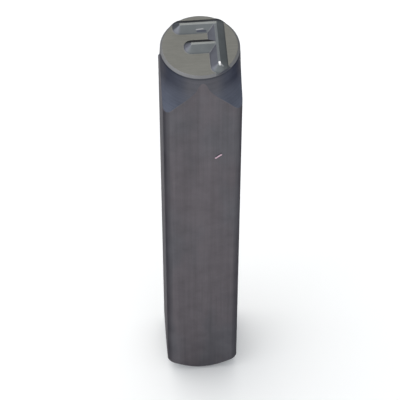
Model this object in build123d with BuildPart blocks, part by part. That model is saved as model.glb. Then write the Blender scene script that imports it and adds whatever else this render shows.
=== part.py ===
from build123d import *
import os
from math import radians, sqrt, tan

# A hand punch that stamps one capital F into metal when its plain end is struck.
# It is one piece: ground square steel bar, turned down at the letter end, with the
# mirror-imaged letter standing in relief on the turned face.
# It stands on its struck end. Z runs up the bar from the middle of that end, the
# letter's head lies towards +Y and its stem towards +X. Lengths are in millimetres.

# Shank
overall_length = 66.0
across_flats = 9.5
corner_radius = 1.05

# Struck end
struck_face_diameter = 8.2
struck_chamfer_angle = 45.0  # from the punch's axis

# Turned letter end
face_diameter = 9.4
rim_break = 0.25
neck_angle = 2.5  # from the punch's axis
neck_length = 3.75  # letter face down to where neck and shoulder would meet sharply
shoulder_angle = 28.0  # from the punch's axis
shoulder_blend = 6.0

# Letter, measured on its flat lands
letter_width = 4.33
letter_height = 6.35
letter_offset = -0.18  # middle of the letter from the punch's axis, along Y
land_width = 0.3
land_corner_radius = 0.05
arm_length = 3.2
arm_rise = 0.02  # middle arm above the middle of the letter
letter_relief = 0.7
flank_angle = 51.8  # from the punch's axis
flank_sink = 0.15  # flanks run on this far below the foot of the rim's edge break

# Heights and radii that follow from these sizes
face_height = overall_length - letter_relief
rim_radius = face_diameter / 2
neck_foot_height = face_height - neck_length
neck_foot_radius = rim_radius + neck_length * tan(radians(neck_angle))
neck_top_radius = rim_radius - letter_relief * tan(radians(neck_angle))

# Just outside the bar's corners, so that turning cuts nothing between the two ends
clear_radius = across_flats / sqrt(2)
shoulder_height = (clear_radius - neck_foot_radius) / tan(radians(shoulder_angle))
shoulder_foot_height = neck_foot_height - shoulder_height
struck_radius = struck_face_diameter / 2
struck_chamfer_height = (clear_radius - struck_radius) / tan(radians(struck_chamfer_angle))

# Letter: each stroke is a ridge with a flat land and sloping flanks. Its foot is sunk
# below the rim's edge break, so that a flank that crosses the rim meets the break.
ridge_foot_height = face_height - rim_break - flank_sink
ridge_height = overall_length - ridge_foot_height
flank_run = ridge_height * tan(radians(flank_angle))
ridge_corner_radius = land_corner_radius + flank_run

# Middle of each land, measured from the middle of the letter, and its size along X and Y
stem = ((letter_width - land_width) / 2, 0, land_width, letter_height)
top_bar = (0, (letter_height - land_width) / 2, letter_width, land_width)
middle_arm = ((letter_width - arm_length) / 2, arm_rise, arm_length, land_width)

with BuildPart() as letter:
    for centre_x, centre_y, land_x, land_y in (stem, top_bar, middle_arm):
        with BuildSketch(Plane.XY.offset(ridge_foot_height)):
            with Locations((centre_x, centre_y + letter_offset)):
                RectangleRounded(
                    land_x + 2 * flank_run,
                    land_y + 2 * flank_run,
                    ridge_corner_radius,
                )
        extrude(amount=ridge_height, taper=flank_angle)

    # The neck's cone runs on past the face and trims the flanks that overhang it
    with BuildSketch(Plane.XZ):
        with BuildLine():
            Polyline(
                (0, neck_foot_height),
                (neck_foot_radius, neck_foot_height),
                (neck_top_radius, overall_length),
                (0, overall_length),
                close=True,
            )
        make_face()
    revolve(axis=Axis.Z, mode=Mode.INTERSECT)

with BuildPart() as letter_punch:
    # Square bar with rounded corners
    with BuildSketch():
        RectangleRounded(across_flats, across_flats, corner_radius)
    extrude(amount=face_height)

    # Turned ends: what lies outside this outline is cut from the bar
    with BuildSketch(Plane.XZ):
        with BuildLine():
            FilletPolyline(
                (rim_radius, face_height),
                (neck_foot_radius, neck_foot_height),
                (clear_radius, shoulder_foot_height),
                radius=shoulder_blend,
            )
            Polyline(
                (clear_radius, shoulder_foot_height),
                (clear_radius, struck_chamfer_height),
                (struck_radius, 0),
                (0, 0),
                (0, face_height),
                (rim_radius, face_height),
            )
        make_face()
    revolve(axis=Axis.Z, mode=Mode.INTERSECT)

    # Edge break round the rim of the letter face
    face_rim = letter_punch.faces().sort_by(Axis.Z)[-1].edges()
    chamfer(face_rim, length=rim_break)

    add(letter.part)

letter_punch.part.label = "letter_punch"

os.makedirs("parts", exist_ok=True)
export_step(letter_punch.part, "parts/letter_punch.step")
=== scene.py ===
import math

import bpy
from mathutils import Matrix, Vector


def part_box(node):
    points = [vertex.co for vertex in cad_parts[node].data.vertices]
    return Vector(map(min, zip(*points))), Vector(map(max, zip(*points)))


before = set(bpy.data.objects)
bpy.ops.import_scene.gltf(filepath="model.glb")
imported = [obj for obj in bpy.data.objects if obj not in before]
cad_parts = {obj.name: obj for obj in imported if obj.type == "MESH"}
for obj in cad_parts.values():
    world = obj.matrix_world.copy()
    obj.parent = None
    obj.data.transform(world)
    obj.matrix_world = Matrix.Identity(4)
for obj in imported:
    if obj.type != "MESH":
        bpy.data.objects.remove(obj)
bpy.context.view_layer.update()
print("frame loaded")

mm = 0.001
noiseSpan = (0.3, 0.7)  # a noise seldom leaves it

# sizes of the punch that its finish follows, in millimetres
punchShape = {
    "rimRadius": 4.7,
    "rimBreak": 0.25,
    "letterRelief": 0.7,
    "shoulderFoot": 58.9,
}
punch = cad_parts["letter_punch"]
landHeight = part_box("letter_punch")[1].z
faceHeight = landHeight - punchShape["letterRelief"] * mm
rimRadius = punchShape["rimRadius"] * mm


# node helpers

def newMaterial(name):
    material = bpy.data.materials.new(name)
    material.use_nodes = True
    material.node_tree.nodes.clear()
    return material, material.node_tree


def addNode(tree, kind, inputs=None, **settings):
    node = tree.nodes.new(kind)
    for key, value in settings.items():
        setattr(node, key, value)
    for key, value in (inputs or {}).items():
        if isinstance(value, bpy.types.NodeSocket):
            tree.links.new(value, node.inputs[key])
        else:
            node.inputs[key].default_value = value
    return node


def maths(tree, operation, first, second=None, clamp=False):
    inputs = {0: first}
    if second is not None:
        inputs[1] = second
    return addNode(tree, "ShaderNodeMath", inputs, operation=operation, use_clamp=clamp).outputs[0]


def vectorMaths(tree, operation, inputs, output="Vector"):
    return addNode(tree, "ShaderNodeVectorMath", inputs, operation=operation).outputs[output]


def product(tree, *values):
    total = values[0]
    for value in values[1:]:
        total = maths(tree, "MULTIPLY", total, value)
    return total


def ramp(tree, value, low, high, start=0.0, end=1.0, smooth=True):
    # value mapped from low..high to start..end, and held outside
    kind = "SMOOTHSTEP" if smooth else "LINEAR"
    return addNode(
        tree,
        "ShaderNodeMapRange",
        {"Value": value, "From Min": low, "From Max": high, "To Min": start, "To Max": end},
        interpolation_type=kind,
    ).outputs["Result"]


def rampPlace(tree, value, span, base=0.0):
    # 0 to 1 between two places given in millimetres from base
    low, high = span
    return ramp(tree, value, base + low * mm, base + high * mm)


def within(tree, value, middle, reach):
    # 1 where value is nearer to middle than about reach
    away = maths(tree, "ABSOLUTE", maths(tree, "SUBTRACT", value, middle))
    return ramp(tree, away, reach, reach * 0.6)


def noise(tree, vector, scale, detail, rough, stretch=(1, 1, 1)):
    # scale is in features for each metre
    placed = addNode(tree, "ShaderNodeMapping", {"Vector": vector, "Scale": stretch}).outputs[0]
    return addNode(
        tree,
        "ShaderNodeTexNoise",
        {"Vector": placed, "Scale": scale, "Detail": detail, "Roughness": rough},
    ).outputs[0]


def blendValue(tree, factor, first, second):
    return addNode(tree, "ShaderNodeMix", {0: factor, 2: first, 3: second}).outputs[0]


def blendColour(tree, factor, first, second, mode="MIX"):
    return addNode(
        tree,
        "ShaderNodeMix",
        {0: factor, 6: first, 7: second},
        data_type="RGBA",
        blend_type=mode,
    ).outputs[2]


def shadeColour(tree, colour, tone):
    # colour made darker or lighter by a tone near 1
    tint = addNode(tree, "ShaderNodeCombineColor", {0: tone, 1: tone, 2: tone}).outputs[0]
    return blendColour(tree, 1.0, colour, tint, "MULTIPLY")


def stroke(tree, place, mark, wander):
    # 1 along a short straight mark, whose sides are moved by wander
    start, end, width = mark
    start = Vector(start) * mm
    along = Vector(end) * mm - start
    fromStart = vectorMaths(tree, "SUBTRACT", {0: place, 1: start})
    eachLength = along / along.length_squared
    run = vectorMaths(tree, "DOT_PRODUCT", {0: fromStart, 1: eachLength}, "Value")
    run = maths(tree, "ADD", run, 0.0, clamp=True)
    nearest = vectorMaths(tree, "SCALE", {0: along, "Scale": run})
    gap = vectorMaths(tree, "DISTANCE", {0: fromStart, 1: nearest}, "Value")
    gap = maths(tree, "ADD", gap, wander)
    return ramp(tree, gap, width / 2 * mm, width / 5 * mm)


# steel of the punch

steel = {
    "sideColour": (0.134, 0.123, 0.134, 1),  # ground, blackened sides
    "sideCoolColour": (0.123, 0.120, 0.132, 1),  # cooler patches on them
    # dark scale; also the colour of painted shade on the corners, under the rim, at the flanks'
    # roots and beside the scratch
    "scaleAndShadeColour": (0.030, 0.034, 0.042, 1),
    "neckColour": (0.111, 0.111, 0.126, 1),  # turned end, over the middle of each side
    "neckCornerShadeColour": (0.075, 0.080, 0.102, 1),  # and over the bar's corners, darker there as painted shade
    "shoulderColour": (0.109, 0.120, 0.155, 1),  # foot of the shoulder, lighter and bluer as painted reflection
    "breakColour": (0.217, 0.217, 0.221, 1),  # edge break round the face
    "faceColour": (0.129, 0.128, 0.117, 1),
    "flankColour": (0.148, 0.159, 0.162, 1),
    "flankEndLightColour": (0.169, 0.173, 0.199, 1),  # flanks that face the free ends of the bars, lighter as painted light
    "flankBackShadeColour": (0.127, 0.131, 0.134, 1),  # flanks that face the letter's head, darker as painted shade
    "barEndShadeColour": (0.094, 0.099, 0.110, 1),  # end of the top bar, darker as painted shade
    "barHipHighlightColour": (0.176, 0.183, 0.203, 1),  # and the hip where that end turns to the front, lighter as painted highlight
    "landColour": (0.189, 0.197, 0.192, 1),
    "stemLandColour": (0.109, 0.118, 0.123, 1),
    "wornColour": (0.270, 0.265, 0.270, 1),  # rubbed edges
    "scratchColour": (0.678, 0.484, 0.569, 1),
    "nickColour": (0.33, 0.33, 0.335, 1),
    "stemGlintColour": (0.634, 0.626, 0.626, 1),  # painted highlight at the end of the stem's land
    "grazingTint": (0.30, 0.30, 0.31, 1),
    "cornerScaleAndShade": (0.42, 0.28),  # share of scale and painted shade on the bar's corners, from patch to patch
    "rimShade": 0.45,  # painted shade in the thin line under the rim
    "rootShade": 0.3,  # painted shade at the flanks' roots
    "headRootShade": 0.55,  # painted shade at the roots of those that face the letter's head
    # darkest and lightest tone of each pattern
    "mottleTone": (0.88, 1.12),
    "groundTone": (0.89, 1.11),
    "turnedTone": (0.9, 1.1),
    "lappedTone": (0.92, 1.08),
    "edgeWear": (0.45, 0.9),  # share of wear along the edges, from patch to patch
    "stemWear": 0.3,  # of that along the stem's edges
    "cornerWear": (0.02, 0.14),
    "shadeDepth": 0.5,  # of the dark side of the scratch
    "glintCornerShare": 0.4,  # of the painted highlight on the stem's corner
    "roughness": 0.44,
    "roughnessSpread": 0.06,
    "breakRoughness": 0.14,  # more of it on the edge break
    "wornPolish": 0.12,  # less of it on worn edges and under the painted highlight
    "edgeRadius": 0.07,  # millimetres
    "grindingDepth": 0.006,  # millimetres
    "bumpStrength": 0.5,
    "fineDepth": 0.35,  # this and the next in grinding depths
    "markDepth": 3.0,
}

# patterns in the steel: features for each metre, detail, roughness, stretch
patterns = {
    "mottle": (420, 4, 0.6, (1, 1, 1)),
    "patches": (160, 3, 0.5, (1, 1, 0.4)),
    "streaks": (2600, 3, 0.6, (1, 1, 0.02)),  # grinding, along the bar
    "bands": (700, 2, 0.5, (1, 1, 0.015)),
    "lines": (11000, 2, 0.6, (1, 1, 0.008)),
    "fine": (9000, 2, 0.5, (1, 1, 1)),
    "rings": (5200, 3, 0.6, (1, 1, 1)),  # turning, round the turned ends
    "lapped": (8000, 3, 0.65, (0.07, 1, 1)),  # lapping, across the letter face and the lands
    "ragged": (14000, 2, 0.6, (1, 1, 1)),  # sides of the marks
}

# where one finish gives way to the next; lengths are in millimetres
limits = {
    "upright": (0.036, 0.012),  # rise of the normal: turned end, side
    "cornerNormal": (0.1, 0.45),  # normal's x times y: side, corner
    "cornerPlace": (0.3, 0.5),  # place's x times y, against the radius: side, corner
    "neckTop": -2.0,  # from here up to the face the neck keeps one colour
    "rimLine": (-0.42, 0.2),  # painted shade under the rim: middle from the face, reach
    "breakReach": 0.03,
    "faceReach": 0.012,
    "belowFace": (0.005, -0.005),  # from the face
    "insideRim": (0, -0.04),  # from the rim
    "flankFoot": (-0.3, -0.29),  # from the face
    "land": (-0.03, -0.005),  # from the top
    "stemX": (1.6, 1.9),
    "stemY": (2.75, 2.6),
    "barEndX": (-1.7, -2.1),
    "barEndY": (1.0, 1.5),
    "endNormal": (-0.3, -0.6),  # normal's x on the flanks
    "barEndNormal": (-0.46, -0.6),
    "barHipNormal": (0.05, 0.13),  # normal's x times y
    "headNormal": (0.3, 0.6),  # normal's y
    "root": (0.16, 0.02),  # from the face
    "headRoot": (0.6, 0.1),
    "edge": (0.99, 0.93),  # how far the rounded normal agrees with the sharp one
    # values of a noise between which one finish becomes the other
    "coolPatch": (0.42, 0.62),
    "scaleAndShadePatch": (0.35, 0.65),
    "groundNoise": (0.36, 0.64),
    "wornPatch": (0.35, 0.6),
    "wornBand": (0.4, 0.7),
    "roughPatch": (0.25, 0.75),
}

# marks that the photograph shows: start, end, width, in millimetres
marks = {
    "sideScratch": ((1.55, -4.75, 49.39), (2.21, -4.75, 50.0), 0.26),
    "scratchShade": ((1.6, -4.75, 49.75), (2.2, -4.75, 50.32), 0.3),
    "flankNick": ((-0.25, 2.2, 65.61), (0.5, 2.25, 65.65), 0.2),
    "nickShade": ((-0.15, 2.06, 65.49), (0.8, 2.04, 65.48), 0.32),
    # the last two are painted highlights at the stem's end
    "glintEnd": ((2.05, -3.43, 65.93), (2.03, -3.17, 66.0), 0.37),
    "glintCorner": ((2.16, -3.38, 65.95), (2.4, -3.56, 65.76), 0.26),
}

# how far the sides of some marks wander, in millimetres
ragged = {
    "sideScratch": 0.054,
    "scratchShade": 0.054,
    "flankNick": 0.012,
    "nickShade": 0.012,
}


def steelPlaces(tree):
    # where a point lies on the punch, and which way the surface faces there
    at = {"place": addNode(tree, "ShaderNodeTexCoord").outputs["Object"]}
    at["x"], at["y"], at["z"] = addNode(tree, "ShaderNodeSeparateXYZ", {0: at["place"]}).outputs
    flatPlace = addNode(tree, "ShaderNodeCombineXYZ", {0: at["x"], 1: at["y"]}).outputs[0]
    at["radius"] = vectorMaths(tree, "LENGTH", {0: flatPlace}, "Value")
    at["sharp"] = addNode(tree, "ShaderNodeNewGeometry").outputs["Normal"]
    normal = addNode(tree, "ShaderNodeSeparateXYZ", {0: at["sharp"]}).outputs
    at["normalX"], at["normalY"], at["normalZ"] = normal
    at["normalProduct"] = maths(tree, "MULTIPLY", at["normalX"], at["normalY"])
    edgeRadius = steel["edgeRadius"] * mm
    at["rounded"] = addNode(tree, "ShaderNodeBevel", {"Radius": edgeRadius}, samples=8).outputs[0]
    return at


def steelAreas(tree, at):
    # each area is 1 on one part of the punch and 0 elsewhere
    x, y, z, radius = at["x"], at["y"], at["z"], at["radius"]
    on = {}
    # the bar's sides are upright, the turned ends are not
    on["side"] = ramp(tree, maths(tree, "ABSOLUTE", at["normalZ"]), *limits["upright"])
    across = maths(tree, "ABSOLUTE", at["normalProduct"])
    on["corner"] = product(tree, ramp(tree, across, *limits["cornerNormal"]), on["side"])
    # the edge break is a cone of 45 degrees, where radius and height add up to the same
    breakSum = rimRadius - punchShape["rimBreak"] * mm + faceHeight
    coneSum = maths(tree, "ADD", radius, z)
    belowFace = rampPlace(tree, z, limits["belowFace"], faceHeight)
    onCone = within(tree, coneSum, breakSum, limits["breakReach"] * mm)
    on["break"] = product(tree, onCone, belowFace)
    on["face"] = within(tree, z, faceHeight, limits["faceReach"] * mm)
    on["letterEnd"] = rampPlace(tree, z, limits["flankFoot"], faceHeight)
    insideRim = rampPlace(tree, radius, limits["insideRim"], rimRadius)
    on["flank"] = product(tree, on["letterEnd"], insideRim)
    on["land"] = rampPlace(tree, z, limits["land"], landHeight)
    on["stem"] = product(
        tree,
        rampPlace(tree, x, limits["stemX"]),
        rampPlace(tree, y, limits["stemY"]),
        on["letterEnd"],
    )
    on["turned"] = maths(tree, "SUBTRACT", 1.0, maths(tree, "MAXIMUM", on["side"], on["letterEnd"]))
    on["lapped"] = maths(tree, "MAXIMUM", on["face"], on["land"])
    return on


def steelPatterns(tree, at):
    # the turning rings follow radius and height, the others lie in space
    ringPlace = addNode(tree, "ShaderNodeCombineXYZ", {0: at["radius"], 2: at["z"]}).outputs[0]
    grain = {}
    for name, look in patterns.items():
        grain[name] = noise(tree, ringPlace if name == "rings" else at["place"], *look)
    return grain


def sideColour(tree, on, grain):
    cool = ramp(tree, grain["patches"], *limits["coolPatch"])
    colour = blendColour(tree, cool, steel["sideColour"], steel["sideCoolColour"])
    # grinding left some scale on the rounded corners, deepened there by painted shade
    scale = ramp(tree, grain["patches"], *limits["scaleAndShadePatch"], *steel["cornerScaleAndShade"])
    return blendColour(tree, product(tree, on["corner"], scale), colour, steel["scaleAndShadeColour"])


def turnedColour(tree, at):
    x, y, z, radius = at["x"], at["y"], at["z"], at["radius"]
    # darker toward the bar's corners: painted shade
    towardCorner = maths(tree, "ABSOLUTE", maths(tree, "MULTIPLY", x, y))
    towardCorner = maths(tree, "DIVIDE", towardCorner, maths(tree, "MULTIPLY", radius, radius))
    towardCorner = ramp(tree, towardCorner, *limits["cornerPlace"])
    neck = blendColour(tree, towardCorner, steel["neckColour"], steel["neckCornerShadeColour"])
    # lighter and bluer toward the shoulder's foot: painted reflection
    up = ramp(tree, z, punchShape["shoulderFoot"] * mm, faceHeight + limits["neckTop"] * mm)
    colour = blendColour(tree, up, steel["shoulderColour"], neck)
    # a thin line of painted shade close under the rim
    middle, reach = limits["rimLine"]
    underRim = within(tree, z, faceHeight + middle * mm, reach * mm)
    underRim = product(tree, underRim, steel["rimShade"])
    return blendColour(tree, underRim, colour, steel["scaleAndShadeColour"])


def flankColour(tree, at):
    z, normalX = at["z"], at["normalX"]
    # flanks that face the bars' free ends made lighter: painted light
    facesEnd = ramp(tree, normalX, *limits["endNormal"])
    colour = blendColour(tree, facesEnd, steel["flankColour"], steel["flankEndLightColour"])
    atBarEnd = product(
        tree,
        rampPlace(tree, at["x"], limits["barEndX"]),
        rampPlace(tree, at["y"], limits["barEndY"]),
    )
    # the top bar's end made darker: painted shade
    onBarEnd = product(tree, atBarEnd, ramp(tree, normalX, *limits["barEndNormal"]))
    colour = blendColour(tree, onBarEnd, colour, steel["barEndShadeColour"])
    # the hip of the top bar's end made lighter: painted highlight
    onBarHip = product(tree, atBarEnd, ramp(tree, at["normalProduct"], *limits["barHipNormal"]))
    colour = blendColour(tree, onBarHip, colour, steel["barHipHighlightColour"])
    # flanks that face the letter's head made darker: painted shade
    facesHead = ramp(tree, at["normalY"], *limits["headNormal"])
    colour = blendColour(tree, facesHead, colour, steel["flankBackShadeColour"])
    # painted shade darkens the roots
    headRoot = rampPlace(tree, z, limits["headRoot"], faceHeight)
    headRoot = product(tree, facesHead, headRoot, steel["headRootShade"])
    colour = blendColour(tree, headRoot, colour, steel["scaleAndShadeColour"])
    root = product(tree, rampPlace(tree, z, limits["root"], faceHeight), steel["rootShade"])
    return blendColour(tree, root, colour, steel["scaleAndShadeColour"])


def steelTone(tree, on, grain):
    # soft mottling everywhere, and the lines of the tool that made each part
    shade = ramp(tree, grain["mottle"], *noiseSpan, *steel["mottleTone"], False)
    ground = product(tree, maths(tree, "ADD", grain["streaks"], grain["bands"]), 0.4)
    ground = maths(tree, "ADD", ground, product(tree, grain["lines"], 0.2))
    ground = ramp(tree, ground, *limits["groundNoise"], *steel["groundTone"], False)
    ground = blendValue(tree, on["side"], 1.0, ground)
    turned = ramp(tree, grain["rings"], *noiseSpan, *steel["turnedTone"], False)
    turned = blendValue(tree, on["turned"], 1.0, turned)
    lapped = ramp(tree, grain["lapped"], *noiseSpan, *steel["lappedTone"], False)
    lapped = blendValue(tree, on["lapped"], 1.0, lapped)
    return product(tree, shade, ground, turned, lapped)


def steelWear(tree, at, on, grain):
    # edges rubbed brighter, in patches
    agree = vectorMaths(tree, "DOT_PRODUCT", {0: at["rounded"], 1: at["sharp"]}, "Value")
    edge = product(
        tree,
        ramp(tree, agree, *limits["edge"]),
        ramp(tree, grain["mottle"], *limits["wornPatch"], *steel["edgeWear"]),
        ramp(tree, on["stem"], 0.0, 1.0, 1.0, steel["stemWear"]),
    )
    corner = ramp(tree, grain["bands"], *limits["wornBand"], *steel["cornerWear"])
    return maths(tree, "MAXIMUM", edge, product(tree, on["corner"], corner))


def steelMarks(tree, at, grain):
    onMark = {}
    for name, mark in marks.items():
        reach = ragged.get(name, 0.0) * mm
        wander = ramp(tree, grain["ragged"], *noiseSpan, -reach, reach, False)
        onMark[name] = stroke(tree, at["place"], mark, wander)
    return onMark


def makeSteel():
    material, tree = newMaterial("punchSteel")
    at = steelPlaces(tree)
    on = steelAreas(tree, at)
    grain = steelPatterns(tree, at)
    mark = steelMarks(tree, at, grain)
    worn = steelWear(tree, at, on, grain)

    colour = blendColour(tree, on["side"], turnedColour(tree, at), sideColour(tree, on, grain))
    colour = blendColour(tree, on["flank"], colour, flankColour(tree, at))
    colour = blendColour(tree, on["break"], colour, steel["breakColour"])
    colour = blendColour(tree, on["face"], colour, steel["faceColour"])
    land = blendColour(tree, on["stem"], steel["landColour"], steel["stemLandColour"])
    colour = blendColour(tree, on["land"], colour, land)
    colour = shadeColour(tree, colour, steelTone(tree, on, grain))
    colour = blendColour(tree, worn, colour, steel["wornColour"])

    colour = blendColour(tree, mark["nickShade"], colour, steel["neckCornerShadeColour"])
    colour = blendColour(tree, mark["flankNick"], colour, steel["nickColour"])
    scratchShade = product(tree, mark["scratchShade"], steel["shadeDepth"])
    colour = blendColour(tree, scratchShade, colour, steel["scaleAndShadeColour"])
    colour = blendColour(tree, mark["sideScratch"], colour, steel["scratchColour"])
    # painted highlight at the stem's end and on its corner
    glintCorner = product(tree, mark["glintCorner"], steel["glintCornerShare"])
    glint = maths(tree, "MAXIMUM", mark["glintEnd"], glintCorner)
    colour = blendColour(tree, glint, colour, steel["stemGlintColour"])

    low = steel["roughness"] - steel["roughnessSpread"]
    high = steel["roughness"] + steel["roughnessSpread"]
    rough = ramp(tree, grain["mottle"], *limits["roughPatch"], low, high, False)
    polish = product(tree, maths(tree, "MAXIMUM", worn, glint), steel["wornPolish"])
    rough = maths(tree, "SUBTRACT", rough, polish)
    rough = maths(tree, "ADD", rough, product(tree, on["break"], steel["breakRoughness"]))

    grooves = product(tree, grain["streaks"], 0.6)
    grooves = maths(tree, "ADD", grooves, product(tree, grain["lines"], 0.5))
    height = blendValue(tree, on["side"], grain["rings"], grooves)
    height = blendValue(tree, on["lapped"], height, grain["lapped"])
    height = maths(tree, "ADD", height, product(tree, grain["fine"], steel["fineDepth"]))
    cut = maths(tree, "MAXIMUM", mark["sideScratch"], mark["flankNick"])
    height = maths(tree, "SUBTRACT", height, product(tree, cut, steel["markDepth"]))
    bump = addNode(
        tree,
        "ShaderNodeBump",
        {
            "Strength": steel["bumpStrength"],
            "Distance": steel["grindingDepth"] * mm,
            "Height": height,
            "Normal": at["rounded"],
        },
    ).outputs[0]
    shader = addNode(
        tree,
        "ShaderNodeBsdfPrincipled",
        {
            "Base Color": colour,
            "Metallic": 1.0,
            "Roughness": rough,
            "Specular Tint": steel["grazingTint"],
            "Normal": bump,
        },
    ).outputs[0]
    addNode(tree, "ShaderNodeOutputMaterial", {"Surface": shader})
    return material


punchSteel = makeSteel()
for slot in punch.material_slots:
    slot.material = punchSteel
print("steel finished")


# floor

floorSettings = {
    "size": 6.0,
    "colour": (0.86, 0.86, 0.85, 1),
    "roughness": 0.6,
    "cloud": (9, 2, 0.5),  # features for each metre, detail, roughness
    "cloudTone": (0.985, 1.0),
}


def makeFloor():
    bpy.ops.mesh.primitive_plane_add(size=floorSettings["size"])
    floor = bpy.context.object
    floor.name = "studioFloor"
    material, tree = newMaterial("floorPaint")
    place = addNode(tree, "ShaderNodeTexCoord").outputs["Object"]
    cloud = noise(tree, place, *floorSettings["cloud"])
    tone = ramp(tree, cloud, *noiseSpan, *floorSettings["cloudTone"], False)
    shader = addNode(
        tree,
        "ShaderNodeBsdfPrincipled",
        {
            "Base Color": shadeColour(tree, floorSettings["colour"], tone),
            "Roughness": floorSettings["roughness"],
        },
    ).outputs[0]
    addNode(tree, "ShaderNodeOutputMaterial", {"Surface": shader})
    floor.data.materials.append(material)


makeFloor()
print("floor laid")


# light

studio = {
    "skyColour": (0.93, 0.96, 1.0, 1),
    "skyTop": 0.85,
    "skyHorizon": 0.58,
    "skyRise": 0.9,  # where the sky reaches its full strength, from 0 to 1
    # name: place in metres, size, power in watts, colour
    "lamps": {
        "keyLamp": ((-0.20, 0.32, 0.80), 1.0, 4.5, (1.0, 0.98, 0.95)),
        "sideLamp": ((-0.69, -0.19, 0.53), 0.9, 2.0, (0.97, 0.98, 1.0)),
        "frontLamp": ((0.12, -0.72, 0.58), 0.9, 1.2, (1.0, 0.99, 0.97)),
    },
}


def aimAt(thing, height):
    # turn a lamp or camera towards the punch's axis
    aim = Vector((0, 0, height)) - thing.location
    thing.rotation_euler = aim.to_track_quat("-Z", "Y").to_euler()


def makeSky():
    world = bpy.data.worlds.new("studioSky")
    bpy.context.scene.world = world
    world.use_nodes = True
    tree = world.node_tree
    sky = tree.nodes["Background"]
    sky.inputs["Color"].default_value = studio["skyColour"]
    direction = addNode(tree, "ShaderNodeTexCoord").outputs["Generated"]
    rise = addNode(tree, "ShaderNodeSeparateXYZ", {0: direction}).outputs[2]
    strength = ramp(tree, rise, 0.0, studio["skyRise"], studio["skyHorizon"], studio["skyTop"])
    tree.links.new(strength, sky.inputs["Strength"])


def makeLamps():
    for name, (where, size, power, colour) in studio["lamps"].items():
        data = bpy.data.lights.new(name, "AREA")
        data.shape = "SQUARE"
        data.size = size
        data.energy = power
        data.color = colour
        lamp = bpy.data.objects.new(name, data)
        lamp.location = where
        aimAt(lamp, faceHeight)
        bpy.context.scene.collection.objects.link(lamp)


makeSky()
makeLamps()
bpy.context.scene.view_settings.view_transform = "Standard"
print("lamps set")


# camera: the photograph's line of sight onto the letter face

cameraSettings = {
    "distance": 0.2665,  # from the middle of the letter face
    "elevation": 51.0,
    "azimuth": 4.5,  # towards the left of the punch's front
    "aimHeight": 0.0340,
    "lens": 205,
    "clipStart": 0.01,
}


def makeCamera():
    data = bpy.data.cameras.new("photoCamera")
    data.lens = cameraSettings["lens"]
    data.clip_start = cameraSettings["clipStart"]
    camera = bpy.data.objects.new("photoCamera", data)
    elevation = math.radians(cameraSettings["elevation"])
    azimuth = math.radians(cameraSettings["azimuth"])
    reach = cameraSettings["distance"] * math.cos(elevation)
    rise = cameraSettings["distance"] * math.sin(elevation)
    camera.location = (
        -reach * math.sin(azimuth),
        -reach * math.cos(azimuth),
        faceHeight + rise,
    )
    aimAt(camera, cameraSettings["aimHeight"])
    bpy.context.scene.collection.objects.link(camera)
    bpy.context.scene.camera = camera


makeCamera()
print("camera placed")
